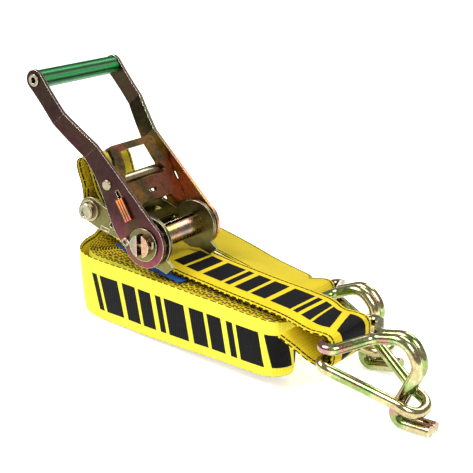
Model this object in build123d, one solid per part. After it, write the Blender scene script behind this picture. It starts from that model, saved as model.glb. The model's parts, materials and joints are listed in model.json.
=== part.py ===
from build123d import *
import os
from math import asin, atan2, cos, degrees, pi, radians, sin, sqrt

# Ratchet tie down for 50 mm webbing, in millimetres.
# +Z is up, +X runs from the ratchet towards the hooks, +Y is along the mandrel.

# Webbing
webbing_width = 50.0
webbing_thickness = 2.2
layer_gap = 0.4

# Short strap
stack_height = 37.0
stack_lean = 14.0

# Ratchet frame
side_clearance = 1.3
frame_plate_thickness = 3.0
mandrel_to_bolt = 58.0
bolt_offset = 2.0
boss_radius = 10.0
frame_disc_radius = 19.0
frame_lower_edge = 9.4
frame_upper_edge = 6.4
foot_reach = 24.5
foot_depth = 17.4
base_plate_thickness = 2.5
base_plate_back = 47.8
base_plate_front = 20.0
ratchet_pitch = 13.8
mandrel_height = 78.0

# Mandrel and gears
mandrel_radius = 8.5
mandrel_slot = 4.6
mandrel_turn = 13.8
shaft_clearance = 0.06
gear_teeth = 12
gear_tip_radius = 17.0
gear_root_radius = 13.8
gear_thickness = 3.0
gear_side_clearance = 0.4
washer_thickness = 1.0
washer_radius = 12.5
cotter_radius = 1.2
cotter_length = 24.0

# Bolt through the tail of the frame
bolt_radius = 4.0
bolt_head_radius = 6.6
bolt_head_height = 5.2
bush_radius = 7.0
bolt_washer_radius = 8.2
bolt_washer_thickness = 1.8
nut_radius = 7.6
nut_height = 6.5

# Lock pawl, sliding in the frame
pawl_thickness = 2.8
slot_clearance = 0.35
lock_pawl_level = -1.5
lock_pawl_length = 15.0
lock_tongue_length = 8.0
lock_tongue_width = 4.0
lock_engage = 2.6
lock_retract = 5.0
spring_wire = 0.6

# Handle
handle_angle = 129.4
arm_thickness = 2.8
arm_end_radius = 18.0
grip_distance = 145.0
grip_offset = -1.8
grip_radius = 6.8
arm_tip_radius = 7.6
flare_start = 0.552 * grip_distance
flare_end = 0.772 * grip_distance
flare_width = 10.0
rivet_radius = 3.4
rivet_head_radius = 4.6
spreader_distance = 51.8
spreader_offset = 0.0
spreader_radius = 3.9

# Drive pawl, sliding in the handle
drive_pawl_tilt = 9.6
drive_pawl_offset = 2.4
drive_retract = 6.0
tip_gap = 0.4
ear_bottom = 20.6
ear_top = 38.0
ear_head_width = 6.4
ear_head_height = 2.2
plate_bottom = 28.9
plate_top = 46.8
finger_bar_top = 77.0
finger_bar_width = 5.4

# Hooks and keepers
wire_radius = 3.75
crossbar_length = 60.0
crossbar_bend = 5.9
keeper_drop = 11.0
keeper_length = 65.0
keeper_slope = 25.0
keeper_nose_half = 11.9
eye_width = 48.0
eye_length = 21.0
hook_a_place = (173.0, -48.0, 53.0)
hook_a_turn = -3.0
hook_a_pitch = 0.0
hook_b_place = (107.0, 22.0, 43.2)
hook_b_turn = -3.0
hook_b_pitch = 11.0

# Coil of the long strap, standing on its edges
coil_big_centre = (-57.0, 30.0)
coil_big_radius = 45.9
coil_small_centre = (115.0, -36.0)
coil_small_radius = 15.0
coil_core_radius = 7.0
loose_turn_centre = (-60.0, 30.0)
loose_turn_radius = 48.9

# Derived sizes
frame_inner = webbing_width / 2 + side_clearance
frame_outer = frame_inner + frame_plate_thickness
gear_inner = frame_outer + gear_side_clearance
gear_outer = gear_inner + gear_thickness
arm_inner = gear_outer + gear_side_clearance
arm_outer = arm_inner + arm_thickness
washer_outer = arm_outer + layer_gap + washer_thickness
cotter_centre = washer_outer + cotter_radius + 0.2
mandrel_half_length = cotter_centre + 3.0
grip_half_length = arm_inner + flare_width
bolt_x = -mandrel_to_bolt
bolt_z = bolt_offset
pawl_tip = gear_tip_radius + tip_gap
short_strap_level = webbing_width + layer_gap + webbing_thickness / 2
long_strap_level = short_strap_level + webbing_thickness + layer_gap


# ---------------------------------------------------------------- helpers
def outline_of(*points):
    """Flat outline through the points, facing up whichever way they run."""
    area = 0.0
    for (x1, y1), (x2, y2) in zip(points, points[1:] + points[:1]):
        area += x1 * y2 - x2 * y1
    ordered = points if area > 0 else tuple(reversed(points))
    return Polygon(*ordered, align=None)


def prism_y(sketch, low, high):
    """Extrude an XZ profile, drawn as (x, z), between two Y values."""
    return Pos(0, high, 0) * extrude(Plane.XZ * sketch, amount=high - low)


def rod_y(x, z, radius, low, high):
    """Cylinder along Y."""
    return prism_y(Pos(x, z) * Circle(radius), low, high)


def box_between(x_low, x_high, y_low, y_high, z_low, z_high):
    """Box given by its two corners."""
    size = (x_high - x_low, y_high - y_low, z_high - z_low)
    middle = ((x_high + x_low) / 2, (y_high + y_low) / 2, (z_high + z_low) / 2)
    return Pos(*middle) * Box(*size)


def in_frame(shape):
    """Place a shape drawn in the pitched ratchet frame."""
    return Pos(0, 0, mandrel_height) * Rot(0, ratchet_pitch, 0) * shape


def in_handle(shape):
    """Place a shape drawn in the handle: X along the arms, Z behind them."""
    return Pos(0, 0, mandrel_height) * Rot(0, -handle_angle, 0) * shape


def in_drive_pawl(shape):
    """Place a shape drawn in the drive pawl's own sliding plane."""
    return in_handle(Pos(0, 0, drive_pawl_offset) * Rot(0, drive_pawl_tilt, 0) * shape)


def mirrored(shape):
    """The same piece on the other side of the ratchet."""
    return mirror(shape, about=Plane.XZ)


def group(*shapes):
    """Several separate solids written as one node."""
    solids = []
    for shape in shapes:
        solids += list(shape.solids())
    return Compound(children=solids)


def coil_spring(radius, wire, length, turns):
    """Compression spring along +X from the origin."""
    pitch = (length - 2 * wire) / turns
    path = Helix(pitch=pitch, height=pitch * turns, radius=radius)
    section = Plane(origin=path @ 0, z_dir=path % 0) * Circle(wire)
    spring = sweep(section, path=path)
    return Rot(0, 90, 0) * Pos(0, 0, wire) * spring


def swept_wire(points, radii, radius):
    """Round bar along straight runs joined by tangent arcs."""
    path = FilletPolyline(*points, radius=radii)
    section = Plane(origin=path @ 0, z_dir=path % 0) * Circle(radius)
    return sweep(section, path=path)


# ---------------------------------------------------------------- frame
def mandrel_section(clearance=0.0):
    """Two half-round shafts with the webbing slot between them."""
    disc = Circle(mandrel_radius + clearance)
    slot = Rectangle(mandrel_slot - 2 * clearance, 3 * mandrel_radius)
    return Rot(0, 0, mandrel_turn) * (disc - slot)


lock_tip = -pawl_tip
lock_heel = lock_tip - lock_pawl_length
lock_tail = lock_heel - lock_tongue_length
lock_slot_half = pawl_thickness / 2 + slot_clearance
lock_slot_front = lock_tip + lock_engage + slot_clearance
lock_slot_back = lock_heel - lock_retract - slot_clearance
upright_x = lock_tail - lock_retract - layer_gap


def frame_plate_profile():
    """Side plate: boss at the bolt, disc round the mandrel, foot below."""
    web = outline_of(
        (bolt_x, bolt_z + boss_radius),
        (bolt_x + 1.2 * boss_radius, frame_upper_edge + 3.0),
        (-frame_disc_radius + 1.5, frame_upper_edge),
        (0, frame_upper_edge),
        (0, -frame_lower_edge),
        (-0.9 * frame_disc_radius, -frame_lower_edge - 1.6),
        (-frame_disc_radius, -frame_lower_edge),
        (bolt_x + boss_radius, -frame_lower_edge),
        (bolt_x, bolt_z - boss_radius),
    )
    foot = outline_of(
        (0, 0),
        (frame_disc_radius - 0.8, -5.6),
        (frame_disc_radius - 1.4, -7.4),
        (foot_reach, -foot_depth + 6.6),
        (foot_reach - 4.5, -foot_depth),
        (-3.0, -foot_depth + 1.4),
        (-11.0, -foot_depth + 4.0),
        (-0.9 * frame_disc_radius, -frame_lower_edge - 1.6),
    )
    boss = Pos(bolt_x, bolt_z) * Circle(boss_radius)
    outline = Circle(frame_disc_radius) + boss + web + foot
    slot_length = lock_slot_front - lock_slot_back
    slot = Pos((lock_slot_front + lock_slot_back) / 2, lock_pawl_level)
    outline -= slot * RectangleRounded(slot_length, 2 * lock_slot_half, 0.8)
    outline -= Circle(mandrel_radius + shaft_clearance)
    outline -= Pos(bolt_x, bolt_z) * Circle(bolt_radius)
    return outline


def frame_plate(low, high):
    """Side plate with the two holes that hold the base plate's tabs."""
    plate = prism_y(frame_plate_profile(), low, high)
    for x in base_tab_positions:
        plate -= box_between(x - 4, x + 4, low - 1, high + 1, base_top - base_plate_thickness, base_top)
    return plate


base_tab_positions = (-base_plate_back + 6.0, -base_plate_front - 4.0)
base_top = -frame_lower_edge + base_plate_thickness + 1.0


def base_plate():
    """Cross plate between the side plates, with an upright that backs the spring."""
    low = base_top - base_plate_thickness
    plate = box_between(-base_plate_back, -base_plate_front, -frame_inner, frame_inner, low, base_top)
    plate -= Pos(-(base_plate_back + base_plate_front) / 2, 0, low) * Cylinder(6.0, 20)
    for x in base_tab_positions:
        plate += box_between(x - 4, x + 4, -frame_outer, frame_outer, low, base_top)
    upright = box_between(upright_x - 2.0, upright_x, -7, 7, low, lock_pawl_level + 4.5)
    plate += upright
    return plate


def lock_pawl():
    """Flat pawl across both side plates, with a tongue that guides its spring."""
    half = pawl_thickness / 2
    low = lock_pawl_level - half
    high = lock_pawl_level + half
    pawl = box_between(lock_heel, lock_tip - 4.0, -frame_outer - gear_side_clearance / 2,
                       frame_outer + gear_side_clearance / 2, low, high)
    tooth = outline_of(
        (lock_heel, low),
        (lock_tip - 2.0, low),
        (lock_tip, low + 0.9),
        (lock_tip, high),
        (lock_heel, high),
    )
    for side in (-1, 1):
        edges = sorted((side * gear_inner, side * (gear_outer - 0.3)))
        pawl += prism_y(tooth, *edges)
        inner = sorted((side * (frame_outer - 6.0), side * gear_inner))
        pawl += box_between(lock_heel, lock_tip - 4.0, *inner, low, high)
    tongue_half = lock_tongue_width / 2
    pawl += box_between(lock_tail, lock_heel, -tongue_half, tongue_half, low, high)
    pawl -= Pos((lock_heel + lock_tip) / 2, 0, lock_pawl_level) * Cylinder(3.0, 10)
    return pawl


def lock_spring():
    """Compression spring round the lock pawl's tongue."""
    radius = lock_tongue_width / 2 + 1.2
    length = lock_heel - upright_x
    spring = coil_spring(radius, spring_wire, length - 0.3, 5)
    return Pos(upright_x + 0.15, 0, lock_pawl_level) * spring


# ---------------------------------------------------------------- bolt
def tie_bolt():
    """Bolt that the short strap is sewn round, head on the near side."""
    head_low = -frame_outer - bolt_washer_thickness - bolt_head_height
    head_high = -frame_outer - bolt_washer_thickness
    nut_face = frame_outer + bolt_washer_thickness + nut_height + 2.0
    shank = rod_y(bolt_x, bolt_z, bolt_radius, head_high, nut_face)
    head = rod_y(bolt_x, bolt_z, bolt_head_radius, head_low, head_high)
    head = chamfer(head.faces().sort_by(Axis.Y)[0].edges(), 1.0)
    head -= rod_y(bolt_x, bolt_z, bolt_head_radius * 0.6, head_low, head_low + 1.2)
    return shank + head


def tie_bush():
    """Spacer tube over the bolt between the side plates."""
    ring = Pos(bolt_x, bolt_z) * (Circle(bush_radius) - Circle(bolt_radius))
    return prism_y(ring, -frame_inner, frame_inner)


def tie_washers():
    """Washers under the bolt head and under the nut."""
    ring = Pos(bolt_x, bolt_z) * (Circle(bolt_washer_radius) - Circle(bolt_radius))
    near = prism_y(ring, -frame_outer - bolt_washer_thickness, -frame_outer)
    far = prism_y(ring, frame_outer, frame_outer + bolt_washer_thickness)
    return near, far


def tie_nut():
    """Hexagon nut on the far end of the bolt."""
    low = frame_outer + bolt_washer_thickness
    hexagon = RegularPolygon(nut_radius, 6) - Circle(bolt_radius)
    return prism_y(Pos(bolt_x, bolt_z) * hexagon, low, low + nut_height)


# ---------------------------------------------------------------- mandrel
def mandrel_half(side):
    """One half-round shaft, with the holes for the cotters."""
    keep = Rot(0, 0, mandrel_turn) * Pos(side * 2 * mandrel_radius, 0)
    half = mandrel_section() & (keep * Rectangle(4 * mandrel_radius, 4 * mandrel_radius))
    shaft = prism_y(half, -mandrel_half_length, mandrel_half_length)
    for y in (-cotter_centre, cotter_centre):
        shaft -= cotter_hole(y)
    return shaft


def cotter_hole(y):
    """Hole through both half shafts, across the webbing slot."""
    hole = Cylinder(cotter_radius + 0.05, 4 * mandrel_radius)
    return Rot(0, -mandrel_turn, 0) * Pos(0, y, 0) * Rot(0, 90, 0) * hole


def cotter_pin(y):
    """Split pin with an eye at one end and a spread leg at the other."""
    pin = Pos(-1.0, y, 0) * Rot(0, 90, 0) * Cylinder(cotter_radius, cotter_length)
    eye_x = -cotter_length / 2 - 3.0
    eye = Pos(eye_x, y, 0) * Rot(90, 0, 0) * Torus(2.4, cotter_radius * 0.9)
    leg_x = cotter_length / 2 - 1.4
    leg = Pos(leg_x, y, 2.2) * Cylinder(cotter_radius * 0.9, 4.5)
    return Rot(0, -mandrel_turn, 0) * (pin + eye + leg)


def gear(low, high):
    """Ratchet wheel, with saw teeth, keyed to both half shafts."""
    points = []
    step = 2 * pi / gear_teeth
    start = radians(gear_phase)
    for tooth in range(gear_teeth):
        angle = start + tooth * step
        points.append((gear_root_radius * cos(angle), gear_root_radius * sin(angle)))
        points.append((gear_tip_radius * cos(angle + 0.12 * step), gear_tip_radius * sin(angle + 0.12 * step)))
        points.append((gear_tip_radius * cos(angle + 0.30 * step), gear_tip_radius * sin(angle + 0.30 * step)))
        points.append((gear_root_radius * cos(angle + 0.78 * step), gear_root_radius * sin(angle + 0.78 * step)))
    blank = outline_of(*points) - mandrel_section()
    return prism_y(blank, low, high)


gear_phase = 180.0 + degrees(asin(-lock_pawl_level / gear_tip_radius)) - 0.834 * 360.0 / gear_teeth


def mandrel_washers():
    """Washers between the handle arms and the cotters."""
    ring = Circle(washer_radius) - Circle(mandrel_radius + shaft_clearance)
    near = prism_y(ring, -washer_outer, -washer_outer + washer_thickness)
    far = prism_y(ring, washer_outer - washer_thickness, washer_outer)
    return near, far


# ---------------------------------------------------------------- handle
arm_right_edge = ((0.1655, -15.6), (0.3310, -13.6), (0.5103, -11.2), (0.6690, -9.4), (0.8345, -8.6))
arm_left_edge = ((0.8276, 5.0), (0.6690, 5.4), (0.5310, 5.0), (0.4207, 6.2), (0.3310, 9.4), (0.2345, 14.0))


def arm_outline():
    """Arm seen from the side: disc at the mandrel, waist, round end at the grip."""
    tip = (grip_distance, grip_offset)
    right_edge = [(share * grip_distance, side) for share, side in arm_right_edge]
    left_edge = [(share * grip_distance, side) for share, side in arm_left_edge]
    right = [(5.0, -arm_end_radius + 0.9), *right_edge, (tip[0], tip[1] - arm_tip_radius)]
    left = [(tip[0], tip[1] + arm_tip_radius), *left_edge, (6.0, arm_end_radius - 1.2)]
    edges = [Spline(*right), Line(right[-1], left[0]), Spline(*left), Line(left[-1], right[0])]
    blade = make_face(Curve() + edges)
    outline = blade + Circle(arm_end_radius) + Pos(*tip) * Circle(arm_tip_radius)
    return outline


def pawl_slot():
    """Slot in the arm that guides an ear of the drive pawl."""
    bottom = ear_bottom - slot_clearance
    top = ear_top + drive_retract + slot_clearance
    middle = (bottom + top) / 2
    height = pawl_thickness + 2 * slot_clearance
    return Pos(middle, 0) * RectangleRounded(top - bottom, height, 0.8)


def bent_strip():
    """Arm seen along its face: flat, then flared out, then flat again."""
    near, far = arm_inner, arm_outer
    points = [
        (-2 * arm_end_radius, near), (flare_start, near), (flare_end, near + flare_width),
        (grip_distance + 20, near + flare_width), (grip_distance + 20, far + flare_width),
        (flare_end - 1.2, far + flare_width), (flare_start - 1.2, far), (-2 * arm_end_radius, far),
    ]
    strip = outline_of(*points)
    return Pos(0, 0, -30) * extrude(strip, amount=60)


def handle_arm():
    """Far-side arm of the handle."""
    sheet = prism_y(arm_outline(), arm_inner - 5, arm_outer + flare_width + 5)
    arm = sheet & bent_strip()
    arm -= rod_y(0, 0, mandrel_radius + shaft_clearance, 0, 60)
    arm -= rod_y(grip_distance, grip_offset, rivet_radius, 0, 80)
    arm -= rod_y(spreader_distance, spreader_offset, rivet_radius, 0, 60)
    slot = prism_y(pawl_slot(), 0, 60)
    arm -= Pos(0, 0, drive_pawl_offset) * Rot(0, drive_pawl_tilt, 0) * slot
    return arm


def grip():
    """Grooved grip tube between the arms."""
    section = Circle(grip_radius)
    for turn in (35, 125, 215, 305):
        cut = Rot(0, 0, turn) * Pos(grip_radius + 0.5, 0) * Rot(0, 0, 45) * Rectangle(1.9, 1.9)
        section -= cut
    section -= Circle(rivet_radius)
    middle = Pos(grip_distance, grip_offset) * section
    return prism_y(middle, -grip_half_length, grip_half_length)


def grip_tube():
    """Hollow rivet through both arms and the grip, flared at its ends."""
    end = arm_outer + flare_width
    centre = Pos(grip_distance, grip_offset)
    tube = prism_y(centre * Circle(rivet_radius), -end, end)
    for side in (-1, 1):
        edges = sorted((side * end, side * (end + 1.3)))
        head = rod_y(grip_distance, grip_offset, rivet_head_radius, *edges)
        tube += fillet(head.edges().filter_by(GeomType.CIRCLE), 0.5)
    tube -= prism_y(centre * Circle(rivet_radius - 1.0), -end - 5, end + 5)
    return tube


def spreader_rod():
    """Rod that spaces the arms, riveted over outside them."""
    x, z = spreader_distance, spreader_offset
    rod = rod_y(x, z, spreader_radius, -arm_inner, arm_inner)
    rod += rod_y(x, z, rivet_radius - 0.4, -arm_outer, arm_outer)
    for side in (-1, 1):
        edges = sorted((side * arm_outer, side * (arm_outer + 1.6)))
        head = rod_y(x, z, rivet_radius + 0.6, *edges)
        outer = head.faces().sort_by(Axis.Y)[0 if side < 0 else -1]
        rod += fillet(outer.edges(), 1.2)
    return rod


# ---------------------------------------------------------------- drive pawl
def drive_pawl():
    """Sheet pawl: finger bar, two legs, cross plate, ears and teeth."""
    near = arm_inner - 0.5
    tooth_low = gear_inner
    tooth_high = gear_outer - 0.1
    half_outline = [
        (finger_bar_top, 0), (finger_bar_top, 23.0), (finger_bar_top - 2.4, 26.4),
        (67.0, 25.6), (52.0, near), (ear_top, near), (ear_top, arm_outer + 1.4),
        (ear_bottom, arm_outer + 1.4), (ear_bottom, tooth_high), (pawl_tip, tooth_high),
        (pawl_tip, tooth_low), (frame_disc_radius + 2.0, tooth_low),
        (frame_disc_radius + 2.0, 24.6), (plate_bottom, 17.0), (plate_bottom, 0),
    ]
    opening_half = [
        (finger_bar_top - finger_bar_width, 0), (finger_bar_top - finger_bar_width, 15.5),
        (59.3, 17.6), (54.0, 20.8), (49.4, 24.0), (plate_top, 23.2), (plate_top, 0),
    ]
    outline = half_outline + [(x, -y) for x, y in reversed(half_outline)]
    opening = opening_half + [(x, -y) for x, y in reversed(opening_half)]
    sketch = outline_of(*outline) - outline_of(*opening)
    sketch -= outline_of((34.8, 3.6), (37.6, 5.2), (37.6, -6.0), (35.4, -4.6))
    half = pawl_thickness / 2
    pawl = Pos(0, 0, -half) * extrude(sketch, amount=pawl_thickness)
    bar = box_between(finger_bar_top - 2.6, finger_bar_top, -22.5, 22.5, half, half + 4.6)
    pawl += bar
    for side in (-1, 1):
        edges = sorted((side * 8.5, side * 15.5))
        pawl += box_between(plate_bottom, plate_bottom + 2.3, *edges, half, half + 6.6)
        face = sorted((side * (arm_outer + 0.35), side * (arm_outer + ear_head_height)))
        pawl += box_between(ear_bottom, ear_top, *face, -ear_head_width / 2, ear_head_width / 2)
        groove = sorted((side * (arm_outer + ear_head_height - 0.7), side * (arm_outer + 5.0)))
        for level in (-1.2, 1.2):
            pawl -= box_between(ear_bottom - 1, ear_top + 1, *groove, level - 0.4, level + 0.4)
    return pawl


def drive_springs():
    """Pair of compression springs between the pawl's rear tabs and the spreader."""
    start = plate_bottom + 2.3 + 0.15
    turn = radians(drive_pawl_tilt)
    rod_x = spreader_distance * cos(turn) - (spreader_offset - drive_pawl_offset) * sin(turn)
    length = rod_x - spreader_radius - 0.3 - start
    springs = []
    for side in (-1, 1):
        spring = coil_spring(2.2, spring_wire, length, 6)
        springs.append(Pos(start, side * 12.0, pawl_thickness / 2 + 3.4) * spring)
    return springs


# ---------------------------------------------------------------- hooks
def hook():
    """Double wire hook: crossbar, converging shanks, open bend, flared tips."""
    half = crossbar_length / 2
    inner = wire_radius + 0.02
    floor = wire_radius - hook_a_place[2]
    far = [
        (0, 0, 0), (0, half, 0), (9.6, half, 0), (24.0, inner, 3.0), (47.0, inner, 7.5),
        (57.0, inner, -9.0), (37.0, inner, floor), (67.0, inner, floor),
    ]
    radii = [crossbar_bend, crossbar_bend - 0.3, 9.0, 13.0, 13.0, 7.0]
    wire = swept_wire(far, radii, wire_radius)
    slope = (far[5][0] - far[6][0]) / (far[5][2] - far[6][2])
    weld = Pos(far[6][0] + slope * 14.0, 0, floor + 14.0) * Rot(0, degrees(atan2(slope, 1)), 0)
    return wire + mirrored(wire) + weld * Box(5.0, 4.0, 12.0)


def keeper():
    """Closed long triangle of wire whose nose passes round the hook."""
    half = crossbar_length / 2
    far = [
        (0, 0, 0), (0, half, 0), (6.5, half, 0), (keeper_length - 12.0, keeper_nose_half, 0),
        (keeper_length, keeper_nose_half, 0), (keeper_length, 0, 0),
    ]
    radii = [crossbar_bend - 1.2, 5.0, 12.0, keeper_nose_half - 2.0]
    wire = swept_wire(far, radii, wire_radius)
    return Pos(0, 0, -keeper_drop) * Rot(0, keeper_slope, 0) * (wire + mirrored(wire))


def at_hook(shape, place, turn, pitch):
    """Stand a piece drawn from a hook's crossbar at its place."""
    return Pos(*place) * Rot(0, 0, turn) * Rot(0, -pitch, 0) * shape


# ---------------------------------------------------------------- webbing
def eye_ring():
    """Oval loop of webbing round a hook's and a keeper's crossbars."""
    height = keeper_drop + 2 * (wire_radius + 0.35)
    front = wire_radius + 0.65
    thickness = webbing_thickness
    outer = RectangleRounded(eye_length + 2 * thickness, height + 2 * thickness, front + thickness)
    ring = outer - RectangleRounded(eye_length, height, front)
    centre = Pos(front - eye_length / 2, -keeper_drop / 2)
    return prism_y(centre * ring, -eye_width / 2, eye_width / 2)


def eye_edges(place, turn, pitch, back):
    """Both edges of the webbing where it meets the top of an eye."""
    above = wire_radius + 0.35 + webbing_thickness / 2
    edges = []
    for y in (-eye_width / 2, eye_width / 2):
        point = at_hook(Pos(-back, y, above), place, turn, pitch).position
        edges.append((point.X, point.Y, point.Z))
    return tuple(edges)


def between(a, b, c, d, t):
    """Smooth point between b and c."""
    value = []
    for p, q, r, s in zip(a, b, c, d):
        value.append(q + 0.5 * t * (r - p + t * (2 * p - 5 * q + 4 * r - s + t * (3 * (q - r) + s - p))))
    return value


def smooth_edges(pairs, steps):
    """More pairs of edge points along a smooth strap."""
    fine = []
    for index in range(len(pairs) - 1):
        a = pairs[max(index - 1, 0)]
        b, c = pairs[index], pairs[index + 1]
        d = pairs[min(index + 2, len(pairs) - 1)]
        for step in range(steps):
            t = step / steps
            fine.append([between(a[k], b[k], c[k], d[k], t) for k in (0, 1)])
    fine.append([list(pairs[-1][0]), list(pairs[-1][1])])
    return fine


def strap_through(pairs, steps=3):
    """Webbing solid through pairs of points on its two edges."""
    fine = smooth_edges(pairs, steps)
    sections = []
    for index, (near, far) in enumerate(fine):
        before = fine[max(index - 1, 0)]
        after = fine[min(index + 1, len(fine) - 1)]
        heading = sum((Vector(*q) - Vector(*p) for p, q in zip(before, after)), Vector())
        across = Vector(*far) - Vector(*near)
        middle = (Vector(*far) + Vector(*near)) / 2
        normal = heading.cross(across)
        plane = Plane(origin=middle, x_dir=across, z_dir=across.cross(normal))
        sections.append(plane * Rectangle(across.length, webbing_thickness))
    return loft(sections, ruled=True)


def level_pair(x, y, z, heading):
    """Both edges of a level strap from its centre and heading."""
    half = webbing_width / 2
    dx, dy = -sin(radians(heading)) * half, cos(radians(heading)) * half
    return (x - dx, y - dy, z), (x + dx, y + dy, z)


def long_strap_run():
    """Last turn of the coil, rolling over its end and running flat to the hook."""
    cx, cy = loose_turn_centre
    pairs = []
    for angle in (-100, -120, -140, -160):
        x = cx + loose_turn_radius * cos(radians(angle))
        y = cy + loose_turn_radius * sin(radians(angle))
        if not pairs:
            pairs.append(((x + 28, y - 4.9, webbing_width), (x + 28, y - 4.9, 0)))
        pairs.append(((x, y, webbing_width), (x, y, 0)))
    level = long_strap_level
    pairs += [
        ((-111, 30, 50.5), (-107.5, 32, 0.5)),
        ((-114, 40, 51.5), (-106, 50, 2.2)),
        ((-112, 46, 53.0), (-100, 72, 11.0)),
        ((-106, 43, 54.0), (-88, 86, 32.0)),
        ((-98, 37, level), (-76, 83, 52.6)),
        ((-80, 25, level), (-58, 69.5, level)),
        level_pair(-40.5, 32.0, level, -22.0),
        level_pair(20.0, 7.0, level, -17.5),
        level_pair(80.0, -11.0, level, -16.5),
        level_pair(132.0, -26.5, level + 0.3, -16.0),
        eye_edges(hook_a_place, hook_a_turn, hook_a_pitch, 16.0),
        eye_edges(hook_a_place, hook_a_turn, hook_a_pitch, 6.0),
    ]
    eye = at_hook(eye_ring(), hook_a_place, hook_a_turn, hook_a_pitch)
    return strap_through(pairs) + eye


def short_strap_stack():
    """Eye round the bolt's bush, then the sewn stack that stands up from it."""
    bolt = in_frame(Pos(bolt_x, 0, bolt_z)).position
    inner = bush_radius + layer_gap
    half = webbing_width / 2
    ring = Circle(inner + webbing_thickness) - Circle(inner)
    eye = prism_y(Pos(bolt.X, bolt.Z) * ring, -half, half)
    slab = Pos(0, (inner + stack_height) / 2 + 1.0)
    slab *= RectangleRounded(3 * webbing_thickness, stack_height - inner - 1.0, 1.0)
    return eye + prism_y(Pos(bolt.X, bolt.Z) * Rot(0, 0, stack_lean) * slab, -half, half)


def short_strap_run():
    """Loop from the top of the stack, down behind the ratchet and on to the second hook."""
    half = webbing_width / 2
    pairs = [
        ((-69.7, -half, 127.6), (-69.7, half, 127.6)),
        ((-66.5, -half, 112.0), (-66.5, half, 112.0)),
        ((-70.0, -24.5, 99.0), (-71.0, half, 100.0)),
        ((-78.0, -18.0, 85.0), (-80.0, 29.0, 96.0)),
        ((-86.0, -2.0, 71.0), (-88.0, 37.0, 100.0)),
        ((-89.0, 20.0, 61.0), (-93.0, 49.0, 101.0)),
        ((-84.0, 42.0, 58.0), (-94.0, 69.0, 98.0)),
        ((-70.0, 56.0, 58.0), (-80.0, 92.0, 90.0)),
        ((-50.0, 62.5, 57.4), (-52.0, 108.0, 77.0)),
        ((-32.0, 58.0, 55.2), (-22.0, 106.0, 53.0)),
        ((0.0, 45.5, 53.4), (19.0, 90.5, 42.0)),
        ((27.0, 35.0, 53.0), (46.0, 79.5, 41.7)),
        ((69.0, 18.5, 51.6), (86.0, 63.0, 42.0)),
        eye_edges(hook_b_place, hook_b_turn, hook_b_pitch, 22.0),
        eye_edges(hook_b_place, hook_b_turn, hook_b_pitch, 6.0),
    ]
    loop = at_hook(eye_ring(), hook_b_place, hook_b_turn, hook_b_pitch)
    return strap_through(pairs) + loop


def coil_outline(inset):
    """Teardrop round two circles of different size, moved inwards by inset."""
    big = coil_big_radius - inset
    small = max(coil_small_radius - inset, 3.0)
    bx, by = coil_big_centre
    sx, sy = coil_small_centre
    dx, dy = sx - bx, sy - by
    gap = sqrt(dx * dx + dy * dy)
    wedge = asin((coil_big_radius - coil_small_radius) / gap)
    reach = (big - small) / sin(wedge)
    ux, uy = dx / gap, dy / gap
    sx, sy = bx + ux * reach, by + uy * reach
    heading = atan2(uy, ux)
    lean = pi / 2 - wedge
    points = []
    for cx, cy, r, first, last in (
        (bx, by, big, heading + lean, heading + 2 * pi - lean),
        (sx, sy, small, heading - lean, heading + lean),
    ):
        middle = (first + last) / 2
        points.append([(cx + r * cos(a), cy + r * sin(a)) for a in (first, middle, last)])
    big_arc = ThreePointArc(*points[0])
    small_arc = ThreePointArc(*points[1])
    edges = [big_arc, Line(points[0][2], points[1][0]), small_arc, Line(points[1][2], points[0][0])]
    return make_face(Curve() + edges)


def long_strap_coil():
    """Rolled part of the long strap, on edge on the ground, with its open core."""
    body = extrude(coil_outline(0.0), amount=webbing_width)
    core = extrude(coil_outline(coil_big_radius - coil_core_radius), amount=webbing_width)
    return body - core


# ---------------------------------------------------------------- build
def build():
    """Every node by name."""
    nodes = {
        "frame_plate_near": in_frame(frame_plate(-frame_outer, -frame_inner)),
        "frame_plate_far": in_frame(frame_plate(frame_inner, frame_outer)),
        "frame_base_plate": in_frame(base_plate()),
        "lock_pawl": in_frame(lock_pawl()),
        "lock_pawl_spring": in_frame(lock_spring()),
        "tie_bolt": in_frame(tie_bolt()),
        "tie_bolt_bush": in_frame(tie_bush()),
        "tie_bolt_washers": group(*[in_frame(piece) for piece in tie_washers()]),
        "tie_bolt_nut": in_frame(tie_nut()),
        "mandrel_half_front": in_frame(mandrel_half(1)),
        "mandrel_half_rear": in_frame(mandrel_half(-1)),
        "mandrel_washers": group(*[in_frame(piece) for piece in mandrel_washers()]),
        "ratchet_gear_near": in_frame(gear(-gear_outer, -gear_inner)),
        "ratchet_gear_far": in_frame(gear(gear_inner, gear_outer)),
        "cotter_pins": group(*[in_frame(cotter_pin(y)) for y in (-cotter_centre, cotter_centre)]),
        "handle_arm_near": in_handle(mirrored(handle_arm())),
        "handle_arm_far": in_handle(handle_arm()),
        "handle_grip": in_handle(grip()),
        "handle_grip_rivet": in_handle(grip_tube()),
        "handle_spreader_rod": in_handle(spreader_rod()),
        "drive_pawl": in_drive_pawl(drive_pawl()),
        "drive_pawl_springs": group(*[in_drive_pawl(piece) for piece in drive_springs()]),
        "hook_a": at_hook(hook(), hook_a_place, hook_a_turn, hook_a_pitch),
        "keeper_a": at_hook(keeper(), hook_a_place, hook_a_turn, hook_a_pitch),
        "hook_b": at_hook(hook(), hook_b_place, hook_b_turn, hook_b_pitch),
        "keeper_b": at_hook(keeper(), hook_b_place, hook_b_turn, hook_b_pitch),
        "long_strap_coil": long_strap_coil(),
        "long_strap_run": long_strap_run(),
        "short_strap_stack": short_strap_stack(),
        "short_strap_run": short_strap_run(),
    }
    return nodes


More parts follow.
